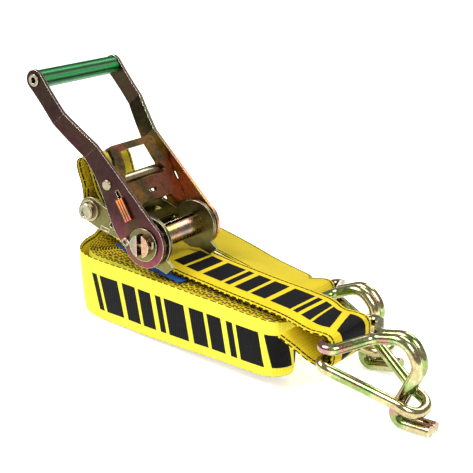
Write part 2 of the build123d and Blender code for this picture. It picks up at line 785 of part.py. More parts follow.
nodes = build()
corners = [shape.bounding_box() for shape in nodes.values()]
low = [min(getattr(box.min, axis) for box in corners) for axis in "XYZ"]
high = [max(getattr(box.max, axis) for box in corners) for axis in "XYZ"]
origin = ((low[0] + high[0]) / 2, (low[1] + high[1]) / 2, low[2])
os.makedirs("parts", exist_ok=True)
for name, shape in nodes.items():
    export_step(Pos(-origin[0], -origin[1], -origin[2]) * shape, f"parts/{name}.step")
print("box", [round(b - a, 1) for a, b in zip(low, high)], "origin", [round(v, 3) for v in origin])
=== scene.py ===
import json
import math
import random

import bmesh
import bpy
import numpy as np
from mathutils import Matrix, Vector


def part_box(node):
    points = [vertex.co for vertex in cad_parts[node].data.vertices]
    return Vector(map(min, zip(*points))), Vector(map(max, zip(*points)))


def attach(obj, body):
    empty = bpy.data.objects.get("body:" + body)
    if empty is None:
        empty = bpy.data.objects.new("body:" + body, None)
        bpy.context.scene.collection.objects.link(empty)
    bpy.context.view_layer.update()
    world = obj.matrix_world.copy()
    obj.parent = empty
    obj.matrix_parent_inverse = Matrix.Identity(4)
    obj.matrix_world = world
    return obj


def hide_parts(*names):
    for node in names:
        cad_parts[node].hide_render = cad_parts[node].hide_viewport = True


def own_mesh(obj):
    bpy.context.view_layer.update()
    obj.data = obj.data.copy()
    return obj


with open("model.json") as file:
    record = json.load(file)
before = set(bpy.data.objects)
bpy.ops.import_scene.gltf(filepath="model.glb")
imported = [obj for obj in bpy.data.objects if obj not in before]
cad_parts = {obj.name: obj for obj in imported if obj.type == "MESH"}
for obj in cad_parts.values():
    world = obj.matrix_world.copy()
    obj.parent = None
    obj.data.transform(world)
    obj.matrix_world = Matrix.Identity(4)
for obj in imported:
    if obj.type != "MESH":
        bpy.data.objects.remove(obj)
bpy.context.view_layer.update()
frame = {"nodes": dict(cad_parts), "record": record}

# Points on the straps are in millimetres from the ground under the mandrel, and place() turns them into metres.
# Lengths in the finishes, the springs and the stage are in metres already.
lowWasher, highWasher = (Vector(corner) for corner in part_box("mandrel_washers"))
mandrelCentre = (lowWasher + highWasher) / 2
lowBush, highBush = (Vector(corner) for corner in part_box("tie_bolt_bush"))
boltCentre = (lowBush + highBush) / 2
mandrelHeight = 78.0


def place(x, y, z):
    return mandrelCentre + Vector((x, y, z - mandrelHeight)) / 1000


def nodeTree(name):
    material = bpy.data.materials.new(name)
    material.use_nodes = True
    tree = material.node_tree
    tree.nodes.clear()
    output = tree.nodes.new("ShaderNodeOutputMaterial")
    shader = tree.nodes.new("ShaderNodeBsdfPrincipled")
    tree.links.new(shader.outputs[0], output.inputs[0])
    return material, tree, shader


def link(tree, value, socket):
    if isinstance(value, bpy.types.NodeSocket):
        tree.links.new(value, socket)
    else:
        socket.default_value = value


def math2(tree, operation, a, b=0.0, c=None):
    node = tree.nodes.new("ShaderNodeMath")
    node.operation = operation
    link(tree, a, node.inputs[0])
    link(tree, b, node.inputs[1])
    if c is not None:
        link(tree, c, node.inputs[2])
    return node.outputs[0]


def inside(tree, value, low, high):
    above = math2(tree, "GREATER_THAN", value, low)
    below = math2(tree, "LESS_THAN", value, high)
    return math2(tree, "MULTIPLY", above, below)


def insideEither(tree, value, spans):
    first, second = (inside(tree, value, low, high) for low, high in spans)
    return math2(tree, "MAXIMUM", first, second)


def dashes(tree, value, pitch, gap):
    return math2(tree, "GREATER_THAN", math2(tree, "FRACT", math2(tree, "DIVIDE", value, pitch)), gap)


def mixColor(tree, factor, a, b, mode="MIX"):
    node = tree.nodes.new("ShaderNodeMix")
    node.data_type = "RGBA"
    node.blend_type = mode
    link(tree, factor, node.inputs[0])
    link(tree, a, node.inputs[6])
    link(tree, b, node.inputs[7])
    return node.outputs[2]


def objectNoise(tree, scale, detail=3.0, stretch=(1, 1, 1), seed=0.0):
    coordinate = tree.nodes.new("ShaderNodeTexCoord")
    mapping = tree.nodes.new("ShaderNodeMapping")
    mapping.inputs["Scale"].default_value = stretch
    mapping.inputs["Location"].default_value = (seed, seed * 0.7, seed * 1.3)
    tree.links.new(coordinate.outputs["Object"], mapping.inputs[0])
    noise = tree.nodes.new("ShaderNodeTexNoise")
    noise.inputs["Scale"].default_value = scale
    noise.inputs["Detail"].default_value = detail
    tree.links.new(mapping.outputs[0], noise.inputs["Vector"])
    return noise.outputs["Fac"]


def ramp(tree, value, stops):
    node = tree.nodes.new("ShaderNodeValToRGB")
    elements = node.color_ramp.elements
    while len(elements) < len(stops):
        elements.new(0.5)
    for element, (position, color) in zip(elements, stops):
        element.position = position
        element.color = (*color, 1)
    link(tree, value, node.inputs[0])
    return node.outputs[0]


plating = {
    "broadDetail": 2.0, "mottleFiner": 14, "mottleDetail": 5.0, "mottleSeed": 3,
    "mottleShades": [(0.3, (0.72, 0.72, 0.72)), (0.7, (1.12, 1.12, 1.12))],
    "edgeWidth": 0.0006, "edgeColor": (0.86, 0.84, 0.66, 1),
    "edgeShades": [(0.90, (1, 1, 1)), (0.985, (0, 0, 0))],
    "roughSpread": 0.22, "roughDrop": 0.1, "toneByPlaceUneven": 0.03, "toneByPlaceAxis": 2,
}


def platedMetal(name, stops, roughness, seed, scale, edgeWidth=plating["edgeWidth"], toneByPlace=None):
    material, tree, shader = nodeTree(name)
    broad = objectNoise(tree, scale, plating["broadDetail"], seed=seed)
    color = ramp(tree, broad, stops)
    mottleScale = scale * plating["mottleFiner"]
    mottled = objectNoise(tree, mottleScale, plating["mottleDetail"], seed=seed + plating["mottleSeed"])
    color = mixColor(tree, 1.0, color, ramp(tree, mottled, plating["mottleShades"]), "MULTIPLY")
    # Colour multiplied by a ramp along one axis: on the arms it is a painted reflection, brighter and more
    # orange low down and darker towards the top; on the drive pawl it makes the end at low y brighter and
    # pinker.
    if toneByPlace:
        coordinate = tree.nodes.new("ShaderNodeTexCoord")
        split = tree.nodes.new("ShaderNodeSeparateXYZ")
        tree.links.new(coordinate.outputs["Object"], split.inputs[0])
        reach = split.outputs[toneByPlace.get("axis", plating["toneByPlaceAxis"])]
        uneven = math2(tree, "MULTIPLY_ADD", broad, toneByPlace.get("uneven", plating["toneByPlaceUneven"]), reach)
        climbed = math2(tree, "SUBTRACT", uneven, toneByPlace["low"])
        share = math2(tree, "DIVIDE", climbed, toneByPlace["high"] - toneByPlace["low"])
        color = mixColor(tree, 1.0, color, ramp(tree, share, toneByPlace["stops"]), "MULTIPLY")
    if edgeWidth:
        bevel = tree.nodes.new("ShaderNodeBevel")
        bevel.inputs["Radius"].default_value = edgeWidth
        geometry = tree.nodes.new("ShaderNodeNewGeometry")
        dot = tree.nodes.new("ShaderNodeVectorMath")
        dot.operation = "DOT_PRODUCT"
        tree.links.new(bevel.outputs[0], dot.inputs[0])
        tree.links.new(geometry.outputs["Normal"], dot.inputs[1])
        worn = ramp(tree, dot.outputs["Value"], plating["edgeShades"])
        color = mixColor(tree, worn, color, plating["edgeColor"])
        tree.links.new(bevel.outputs[0], shader.inputs["Normal"])
    tree.links.new(color, shader.inputs["Base Color"])
    shader.inputs["Metallic"].default_value = 1.0
    rough = math2(tree, "MULTIPLY_ADD", mottled, plating["roughSpread"], roughness - plating["roughDrop"])
    tree.links.new(rough, shader.inputs["Roughness"])
    return material


# The greens run from a painted shade in the grooves to a painted highlight on the ridges.
grip = {
    "ridges": 8.0, "ridgePhase": 0.6, "ridgeHighlightShare": 0.75, "speckleShare": 0.25, "speckleScale": 60.0,
    "grooveShadeToRidgeHighlight": [(0.15, (0.0, 0.035, 0.006)), (0.55, (0.0, 0.13, 0.022)), (0.9, (0.008, 0.25, 0.045))],
    "bumpStrength": 0.8, "bumpDepth": 0.0006, "roughness": 0.34, "specular": 0.3,
}


def plasticGrip():
    material, tree, shader = nodeTree("gripPlastic")
    low, high = (Vector(corner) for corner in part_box("handle_grip"))
    centre = (low + high) / 2
    coordinate = tree.nodes.new("ShaderNodeTexCoord")
    split = tree.nodes.new("ShaderNodeSeparateXYZ")
    tree.links.new(coordinate.outputs["Object"], split.inputs[0])
    rise = math2(tree, "SUBTRACT", split.outputs[2], centre.z)
    reach = math2(tree, "SUBTRACT", split.outputs[0], centre.x)
    turn = math2(tree, "ARCTAN2", rise, reach)
    # The green is painted darker in the grooves and lighter along the ridges, a painted shade and painted
    # highlight, with a random speckle on top.
    wave = math2(tree, "SINE", math2(tree, "MULTIPLY_ADD", turn, grip["ridges"], grip["ridgePhase"]))
    ridge = math2(tree, "MULTIPLY_ADD", wave, 0.5, 0.5)  # from -1..1 to 0..1
    speckle = math2(tree, "MULTIPLY", objectNoise(tree, grip["speckleScale"]), grip["speckleShare"])
    tone = math2(tree, "MULTIPLY_ADD", ridge, grip["ridgeHighlightShare"], speckle)
    tree.links.new(ramp(tree, tone, grip["grooveShadeToRidgeHighlight"]), shader.inputs["Base Color"])
    bump = tree.nodes.new("ShaderNodeBump")
    bump.inputs["Strength"].default_value = grip["bumpStrength"]
    bump.inputs["Distance"].default_value = grip["bumpDepth"]
    tree.links.new(ridge, bump.inputs["Height"])
    tree.links.new(bump.outputs[0], shader.inputs["Normal"])
    shader.inputs["Roughness"].default_value = grip["roughness"]
    shader.inputs["Specular IOR Level"].default_value = grip["specular"]
    return material


weaving = {
    "ribPitch": 0.0022, "warps": 26, "ribShare": 0.30, "weaveShare": 0.30, "contrast": 0.35, "patchScale": 22.0,
    "patchShades": [(0.3, (0.90, 0.88, 0.82)), (0.7, (1.06, 1.05, 1.0))],
    "stitchUneven": 0.012, "stitchPitch": 0.0046, "stitchGap": 0.10,
    "stitchLines": ((0.034, 0.066), (0.934, 0.966)),
    "rims": ((-1.0, -0.0015), (1.0015, 2.0)), "rimPitch": 0.0068, "thread": (0.006, 0.006, 0.005, 1),
    "bumpStrength": 0.55, "bumpDepth": 0.0004, "roughness": 0.66, "specular": 0.10,
}
# Plain blocks of ink, in metres along the strap and in shares of its width, and where they start on it.
printing = {
    "pitch": 0.037, "slant": 0.012, "blocks": 6, "band": (0.24, 0.84), "ink": (0.004, 0.004, 0.005, 1),
    "oddBars": ((0.02, 0.60), (0.69, 0.86)), "evenBars": ((0.0, 0.38), (0.47, 0.88)),
    "wallTurns": 1.02, "wallStart": 0.275, "topHeight": 53.5, "topStart": 3.0,
}


def webbingMaterial(name, printed, base, deep, edged=True, rimGap=0.30):
    material, tree, shader = nodeTree(name)
    uv = tree.nodes.new("ShaderNodeUVMap")
    uv.uv_map = "strap"
    split = tree.nodes.new("ShaderNodeSeparateXYZ")
    tree.links.new(uv.outputs[0], split.inputs[0])
    along, across = split.outputs[0], split.outputs[1]
    rib = math2(tree, "SINE", math2(tree, "MULTIPLY", along, 2 * math.pi / weaving["ribPitch"]))
    warp = math2(tree, "SINE", math2(tree, "MULTIPLY", across, 2 * math.pi * weaving["warps"]))
    weave = math2(tree, "MULTIPLY", math2(tree, "MULTIPLY", rib, warp), weaving["weaveShare"])
    ribs = math2(tree, "MULTIPLY_ADD", rib, weaving["ribShare"], weave)
    tone = math2(tree, "MULTIPLY_ADD", ribs, weaving["contrast"], 0.5)
    color = mixColor(tree, tone, (*deep, 1), (*base, 1))
    patch = objectNoise(tree, weaving["patchScale"])
    color = mixColor(tree, 1.0, color, ramp(tree, patch, weaving["patchShades"]), "MULTIPLY")
    if printed:
        shifted = math2(tree, "MULTIPLY_ADD", across, printing["slant"], along)
        cell = math2(tree, "DIVIDE", shifted, printing["pitch"])
        number = math2(tree, "FLOOR", cell)
        local = math2(tree, "FRACT", cell)
        used = inside(tree, number, -0.5, printing["blocks"] - 0.5)
        odd = dashes(tree, number, 2.0, 0.25)
        even = math2(tree, "SUBTRACT", 1.0, odd)
        oddBlock = math2(tree, "MULTIPLY", insideEither(tree, local, printing["oddBars"]), odd)
        evenBlock = math2(tree, "MULTIPLY", insideEither(tree, local, printing["evenBars"]), even)
        shape = math2(tree, "ADD", oddBlock, evenBlock)
        band = inside(tree, across, *printing["band"])
        ink = math2(tree, "MULTIPLY", math2(tree, "MULTIPLY", shape, band), used)
        color = mixColor(tree, ink, color, printing["ink"])
    stitch = math2(tree, "MULTIPLY_ADD", patch, weaving["stitchUneven"], along)
    rim = insideEither(tree, across, weaving["rims"])
    thread = math2(tree, "MULTIPLY", rim, dashes(tree, stitch, weaving["rimPitch"], rimGap))
    if edged:
        lines = insideEither(tree, across, weaving["stitchLines"])
        stitches = dashes(tree, stitch, weaving["stitchPitch"], weaving["stitchGap"])
        thread = math2(tree, "MAXIMUM", thread, math2(tree, "MULTIPLY", lines, stitches))
    color = mixColor(tree, thread, color, weaving["thread"])
    tree.links.new(color, shader.inputs["Base Color"])
    shader.inputs["Roughness"].default_value = weaving["roughness"]
    shader.inputs["Specular IOR Level"].default_value = weaving["specular"]
    bump = tree.nodes.new("ShaderNodeBump")
    bump.inputs["Strength"].default_value = weaving["bumpStrength"]
    bump.inputs["Distance"].default_value = weaving["bumpDepth"]
    tree.links.new(ribs, bump.inputs["Height"])
    tree.links.new(bump.outputs[0], shader.inputs["Normal"])
    return material


def plainMaterial(name, color, roughness, metallic=0.0):
    material, tree, shader = nodeTree(name)
    noise = objectNoise(tree, 90.0, 2.0)
    low = tuple(c * 0.86 for c in color)
    high = tuple(min(c * 1.1, 1.0) for c in color)
    tree.links.new(ramp(tree, noise, [(0.3, low), (0.7, high)]), shader.inputs["Base Color"])
    shader.inputs["Roughness"].default_value = roughness
    shader.inputs["Metallic"].default_value = metallic
    return material


# The near arm carries a painted reflection by height: brighter and more orange low down, darker towards the top.
armMetal = platedMetal("armMetal", [
    (0.28, (0.09, 0.05, 0.05)), (0.42, (0.12, 0.08, 0.055)), (0.52, (0.10, 0.05, 0.055)),
    (0.62, (0.12, 0.055, 0.06)), (0.74, (0.09, 0.08, 0.04)),
], roughness=0.38, seed=2.0, scale=16.0, toneByPlace={"low": 0.06, "high": 0.20, "stops": [
    (0.0, (2.4, 1.5, 0.8)), (0.18, (1.7, 1.0, 1.1)), (0.40, (0.46, 0.42, 0.34)), (1.0, (0.32, 0.30, 0.27)),
]})
# The far arm carries a painted reflection by height: brighter and more orange low down, darker towards the top.
farArmMetal = platedMetal("farArmMetal", [
    (0.28, (0.34, 0.14, 0.07)), (0.42, (0.46, 0.26, 0.07)), (0.52, (0.28, 0.17, 0.06)),
    (0.62, (0.42, 0.16, 0.12)), (0.74, (0.30, 0.24, 0.07)),
], roughness=0.32, seed=5.0, scale=22.0, toneByPlace={"low": 0.06, "high": 0.20, "stops": [
    (0.0, (1.1, 1.0, 0.9)), (0.3, (1.9, 1.6, 0.9)), (0.52, (1.2, 1.1, 0.6)), (0.72, (0.12, 0.17, 0.16)),
]})
pawlMetal = platedMetal("pawlMetal", [
    (0.28, (0.30, 0.12, 0.05)), (0.42, (0.34, 0.18, 0.05)), (0.52, (0.12, 0.10, 0.04)),
    (0.62, (0.34, 0.12, 0.07)), (0.74, (0.20, 0.16, 0.05)),
], roughness=0.30, seed=5.0, scale=22.0, edgeWidth=0, toneByPlace={
    "axis": 1, "uneven": 0.0, "low": -0.060, "high": 0.034, "stops": [
        (0.0, (2.2, 1.3, 1.5)), (0.112, (2.2, 1.3, 1.5)), (0.118, (1.0, 1.0, 1.0)), (1.0, (1.0, 1.0, 1.0)),
    ],
})
frameMetal = platedMetal("frameMetal", [
    (0.28, (0.14, 0.14, 0.045)), (0.42, (0.19, 0.17, 0.05)), (0.55, (0.13, 0.12, 0.045)),
    (0.66, (0.24, 0.12, 0.06)), (0.76, (0.13, 0.08, 0.05)),
], roughness=0.34, seed=9.0, scale=20.0)
mandrelMetal = platedMetal("mandrelMetal", [
    (0.30, (0.20, 0.15, 0.07)), (0.42, (0.42, 0.33, 0.10)), (0.54, (0.48, 0.26, 0.20)),
    (0.64, (0.24, 0.23, 0.18)), (0.74, (0.38, 0.36, 0.14)),
], roughness=0.24, seed=12.0, scale=34.0)
hookMetal = platedMetal("hookMetal", [
    (0.28, (0.42, 0.20, 0.24)), (0.40, (0.46, 0.38, 0.18)), (0.50, (0.52, 0.50, 0.26)),
    (0.58, (0.22, 0.36, 0.10)), (0.68, (0.42, 0.20, 0.16)), (0.78, (0.34, 0.22, 0.30)),
], roughness=0.16, seed=15.0, scale=55.0)
boltMetal = platedMetal("boltMetal", [
    (0.30, (0.22, 0.20, 0.15)), (0.50, (0.34, 0.31, 0.20)), (0.70, (0.36, 0.26, 0.15)),
], roughness=0.30, seed=18.0, scale=60.0)
springMetal = plainMaterial("springMetal", (0.55, 0.55, 0.52), 0.25, 1.0)
gripPlastic = plasticGrip()
plainWebbing = webbingMaterial("plainWebbing", False, (0.78, 0.62, 0.025), (0.52, 0.38, 0.01))
# The wall's copy of the webbing is painted paler and more lemon than the top strap's copy of the same webbing: a
# painted lit copy.
litWallWebbing = webbingMaterial("litWallWebbing", True, (0.84, 0.80, 0.075), (0.66, 0.60, 0.04), edged=False)
topWebbing = webbingMaterial("topWebbing", True, (0.84, 0.67, 0.025), (0.62, 0.44, 0.01))
loopWebbing = webbingMaterial("loopWebbing", False, (0.76, 0.62, 0.03), (0.46, 0.34, 0.01), rimGap=0.06)
blueLabel = plainMaterial("blueLabel", (0.004, 0.075, 0.36), 0.5)

finishes = {
    "frame_plate_near": frameMetal, "frame_plate_far": frameMetal, "frame_base_plate": frameMetal,
    "lock_pawl": frameMetal, "lock_pawl_spring": springMetal, "tie_bolt": boltMetal, "tie_bolt_bush": boltMetal,
    "tie_bolt_washers": boltMetal, "tie_bolt_nut": boltMetal, "mandrel_half_front": mandrelMetal,
    "mandrel_half_rear": mandrelMetal, "mandrel_washers": frameMetal, "ratchet_gear_near": frameMetal,
    "ratchet_gear_far": frameMetal, "cotter_pins": boltMetal, "handle_arm_near": armMetal,
    "handle_arm_far": farArmMetal, "handle_grip": gripPlastic, "handle_grip_rivet": boltMetal,
    "handle_spreader_rod": boltMetal, "drive_pawl": pawlMetal, "drive_pawl_springs": springMetal,
    "hook_a": hookMetal, "keeper_a": hookMetal, "hook_b": hookMetal, "keeper_b": hookMetal,
}
for nodeName, finish in finishes.items():
    node = frame["nodes"][nodeName]
    node.data.materials.clear()
    node.data.materials.append(finish)
print("finished the metal", len(finishes))


webbing = {
    "width": 50.0, "thickness": 2.0, "level": 54.35, "columns": 7, "spacing": 3.0,
    "rimBulge": 0.012, "edgeSoft": 0.55, "waves": ((130, 1.0), (71, 0.7)), "sharpFrom": 50,
}


# Rows run from the near edge to the far edge, on a smooth curve through the pairs.
def smoothPairs(pairs, spacing=webbing["spacing"]):
    rows = np.array([[*near, *far] for near, far in pairs], float)
    count = len(rows)
    fine = []
    for index in range(count - 1):
        a, b = rows[max(index - 1, 0)], rows[index]
        c, d = rows[index + 1], rows[min(index + 2, count - 1)]
        length = np.linalg.norm(c[:3] - b[:3]) + np.linalg.norm(c[3:] - b[3:])
        number = max(2, int(math.ceil(length / 2 / spacing)))
        for step in range(number):
            t = step / number
            fine.append(b + 0.5 * t * (c - a + t * (2 * a - 5 * b + 4 * c - d + t * (3 * (b - c) + d - a))))
    fine.append(rows[-1])
    return np.array(fine)


def strapMesh(name, rows, thickness, columns, plain, zones=(), wave=0.0, seed=1):
    near, far = rows[:, :3], rows[:, 3:]
    middle = (near + far) / 2
    heading = np.gradient(middle, axis=0)
    across = far - near
    normal = np.cross(across, heading)
    normal /= np.linalg.norm(normal, axis=1)[:, None]
    distance = np.concatenate([[0], np.cumsum(np.linalg.norm(np.diff(middle, axis=0), axis=1))]) / 1000
    half = thickness / 2
    shares = np.linspace(0, 1, columns)
    bulge = webbing["rimBulge"]
    loop = [(share, 1.0) for share in shares] + [(1 + bulge, 0.0)]
    loop += [(share, -1.0) for share in shares[::-1]] + [(-bulge, 0.0)]
    ring = len(loop)
    dice = random.Random(seed)
    phases = [dice.uniform(0, 6.28) for _ in webbing["waves"]]
    vertices, faces, uvs, materials = [], [], [], []
    for index in range(len(rows)):
        sway = 0.0
        for (rate, size), phase in zip(webbing["waves"], phases):
            sway += wave * size * math.sin(distance[index] * rate + phase)
        for share, side in loop:
            soft = webbing["edgeSoft"] if share in (0.0, 1.0) else 1.0
            point = near[index] + across[index] * (share + sway / webbing["width"])
            vertices.append(place(*(point + normal[index] * half * side * soft)))
    for index in range(len(rows) - 1):
        for step in range(ring):
            a = index * ring + step
            b = index * ring + (step + 1) % ring
            faces.append((a, a + ring, b + ring, b))
            share1, share2 = loop[step][0], loop[(step + 1) % ring][0]
            zone = sum(1 for first, zero, material in zones if index >= first)
            zero = distance[zones[zone - 1][1]] if zone else 0.0
            u1, u2 = distance[index] - zero, distance[index + 1] - zero
            uvs.append(((u1, share1), (u2, share1), (u2, share2), (u1, share2)))
            materials.append(zone if step > columns else 0)  # the print is on the ring's second side only
    first = list(range(ring))
    last = [(len(rows) - 1) * ring + step for step in range(ring)]
    for cap in (first, last[::-1]):
        faces.append(tuple(cap))
        uvs.append([(0, loop[step % ring][0]) for step in range(ring)])
        materials.append(0)
    mesh = bpy.data.meshes.new(name)
    mesh.from_pydata(vertices, [], faces)
    mesh.materials.append(plain)
    for first, zero, material in zones:
        mesh.materials.append(material)
    layer = mesh.uv_layers.new(name="strap")
    flat = [value for face in uvs for pair in face for value in pair]
    layer.data.foreach_set("uv", flat)
    mesh.polygons.foreach_set("material_index", materials)
    mesh.polygons.foreach_set("use_smooth", [True] * len(faces))
    mesh.update()
    work = bmesh.new()
    work.from_mesh(mesh)
    bmesh.ops.recalc_face_normals(work, faces=work.faces)
    work.to_mesh(mesh)
    work.free()
    mesh.set_sharp_from_angle(angle=math.radians(webbing["sharpFrom"]))
    piece = bpy.data.objects.new(name, mesh)
    bpy.context.scene.collection.objects.link(piece)
    return piece, float(distance[-1])


# Where each hook's eye is, with u along the hook, y across it and w up.
hooks = {
    "a": {"place": (173.0, -48.0, 53.0), "turn": -3.0, "pitch": 0.0},
    "b": {"place": (107.0, 22.0, 43.2), "turn": -3.0, "pitch": 11.0},
}


def hookPoint(which, u, y, w):
    details = hooks[which]
    turn = Matrix.Rotation(math.radians(details["turn"]), 3, "Z")
    pitch = Matrix.Rotation(math.radians(-details["pitch"]), 3, "Y")
    point = turn @ (pitch @ Vector((u, y, w))) + Vector(details["place"])
    return tuple(point)


def hookPair(which, u, w, half=24.0):
    return hookPoint(which, u, -half, w), hookPoint(which, u, half, w)


def levelPair(x, y, z, heading, half=webbing["width"] / 2):
    dx, dy = -math.sin(math.radians(heading)) * half, math.cos(math.radians(heading)) * half
    return (x - dx, y - dy, z), (x + dx, y + dy, z)


# The strap's way through a hook's eye and back under itself, as u and w.
eyePath = [
    (-14, 5.9), (-5, 5.5), (-0.5, 5.3), (3.4, 4.0), (5.4, 0.4), (5.5, -5.5), (5.4, -11.2), (3.5, -14.9),
    (0, -16.3), (-6, -16.0), (-14, -13.4), (-24, -8.6),
]


def lowered(pairs, drop):
    return [((n[0], n[1], n[2] - drop), (f[0], f[1], f[2] - drop)) for n, f in pairs]


# Each turn is a teardrop: a big round end, two straights and a small round end.
coil = {
    "bigCentre": (-53.0, 30.0), "bigRadius": 45.9, "smallCentre": (115.0, -36.0), "smallRadius": 15.0,
    "smallLeast": 2.6, "smallGrowth": 0.036, "straightShare": 0.22, "smallEndShare": 0.12,
    "turns": 17.0, "lastShare": 0.5, "pitch": 2.32, "inset": 1.15, "steps": 96, "seed": 11,
    "looseShare": 0.16, "looseReach": 2.6, "top": 50.0, "bottom": 0.6, "rise": (-0.45, 0.25),
    "tippedTurns": 12, "tippedAt": 0.30, "tippedSpread": 0.17, "tippedTop": -2.0, "tippedBottom": 9.0,
    "bow": 3.0, "bowHeading": -21.0,
}
looseTurn = {
    "centre": (-56.0, 30.0), "radius": 48.4, "lowRadius": 45.6, "angles": (-100, -120, -140, -160),
    "top": 50.0, "bottom": 0.8,
}


def teardrop(inset):
    bx, by = coil["bigCentre"]
    sx, sy = coil["smallCentre"]
    gap = math.hypot(sx - bx, sy - by)
    wedge = math.asin((coil["bigRadius"] - coil["smallRadius"]) / gap)
    heading = math.atan2(sy - by, sx - bx)
    big = coil["bigRadius"] - inset
    wound = coil["turns"] * coil["pitch"] - inset
    small = max(coil["smallRadius"] - inset, coil["smallLeast"] + coil["smallGrowth"] * wound)
    reach = (big - small) / math.sin(wedge)
    sx, sy = bx + reach * math.cos(heading), by + reach * math.sin(heading)
    lean = math.pi / 2 - wedge
    return (bx, by, big), (sx, sy, small), heading, lean


def roundPoint(circle, angle):
    x, y, radius = circle
    return x + radius * math.cos(angle), y + radius * math.sin(angle)


def straightPoint(start, end, share):
    return start[0] + (end[0] - start[0]) * share, start[1] + (end[1] - start[1]) * share


def teardropPoint(inset, share):
    big, small, heading, lean = teardrop(inset)
    straight, smallEnd = coil["straightShare"], coil["smallEndShare"]
    backFrom = straight + smallEnd
    bigFrom = backFrom + straight
    outSide, backSide = heading + lean, heading - lean
    if share < straight:
        return straightPoint(roundPoint(big, outSide), roundPoint(small, outSide), share / straight)
    if share < backFrom:
        return roundPoint(small, outSide - 2 * lean * (share - straight) / smallEnd)
    if share < bigFrom:
        back = (share - backFrom) / straight
        return straightPoint(roundPoint(small, backSide), roundPoint(big, backSide), back)
    return roundPoint(big, backSide - (2 * math.pi - 2 * lean) * (share - bigFrom) / (1 - bigFrom))


def coilPairs():
    dice = random.Random(coil["seed"])
    steps = coil["steps"]
    total = int((coil["turns"] + coil["lastShare"]) * steps)
    rises = [dice.uniform(*coil["rise"]) for _ in range(int(coil["turns"]) + 2)]
    bowHeading = math.radians(coil["bowHeading"])
    rows = []
    for index in range(total + 1):
        travelled = index / steps
        remaining = (total - index) / steps
        inset = coil["inset"] + coil["pitch"] * remaining
        if remaining < coil["looseShare"]:
            inset -= coil["looseReach"] * (1 - remaining / coil["looseShare"])
        turn, share = int(travelled), travelled % 1.0
        x, y = teardropPoint(inset, share)
        rise = rises[turn] * (1 - share) + rises[turn + 1] * share
        outermost = max(0.0, 1 - remaining / coil["tippedTurns"])
        tipped = outermost * math.exp(-(((share - coil["tippedAt"]) / coil["tippedSpread"]) ** 2))
        bow = coil["bow"] * tipped
        lowX, lowY = x + math.sin(bowHeading) * bow, y - math.cos(bowHeading) * bow
        high = (x, y, coil["top"] + rise + coil["tippedTop"] * tipped)
        rows.append((high, (lowX, lowY, coil["bottom"] + coil["tippedBottom"] * tipped)))
    return rows


def longStrap():
    rows = coilPairs()
    pairs = [rows[-1]]
    for degrees in looseTurn["angles"]:
        angle = math.radians(degrees)
        x, y = roundPoint((*looseTurn["centre"], looseTurn["radius"]), angle)
        lowX, lowY = roundPoint((*looseTurn["centre"], looseTurn["lowRadius"]), angle)
        pairs.append(((x, y, looseTurn["top"]), (lowX, lowY, looseTurn["bottom"])))
    level = webbing["level"]
    pairs += [
        ((-105.5, 30, 50.3), (-101.5, 32, 1.5)), ((-109, 39, 51.5), (-101, 50, 3.2)),
        ((-108, 45, 53.0), (-96, 72, 12.0)), ((-102, 42, 54.0), (-86, 86, 32.0)),
        ((-95, 37, level), (-75, 83, 52.8)), ((-80, 25, level), (-58, 69.5, level)),
        levelPair(-40.5, 32.0, level, -22.0), levelPair(20.0, 7.0, level, -17.5),
        levelPair(80.0, -11.0, level, -16.5), levelPair(128.0, -25.3, level + 0.5, -16.0),
    ]
    pairs += [hookPair("a", u, w) for u, w in eyePath]
    pairs.append(hookPair("a", -35, -3.9))
    run = smoothPairs(pairs)
    spiral = np.array([[*near, *far] for near, far in rows[:-1]], float)
    every = np.concatenate([spiral, run])
    middle = (every[:, 0] + every[:, 3]) / 2
    wallFrom = len(rows) - int(coil["steps"] * printing["wallTurns"])
    wallZero = len(rows) - int(coil["steps"] * printing["wallStart"])
    topFrom = len(spiral) + int(np.argmax(run[:, 2] > printing["topHeight"]))
    topZero = topFrom + int(np.argmax(middle[topFrom:] > printing["topStart"]))
    # Each zone is the row it starts at, the row its print is counted from, and its material.
    zones = [(wallFrom, wallZero, litWallWebbing), (topFrom, topZero, topWebbing)]
    columns = webbing["columns"]
    return strapMesh("longStrap", every, webbing["thickness"], columns, plainWebbing, zones, wave=0.12, seed=3)


stack = {"lean": 14.0, "underDrop": 2.3}


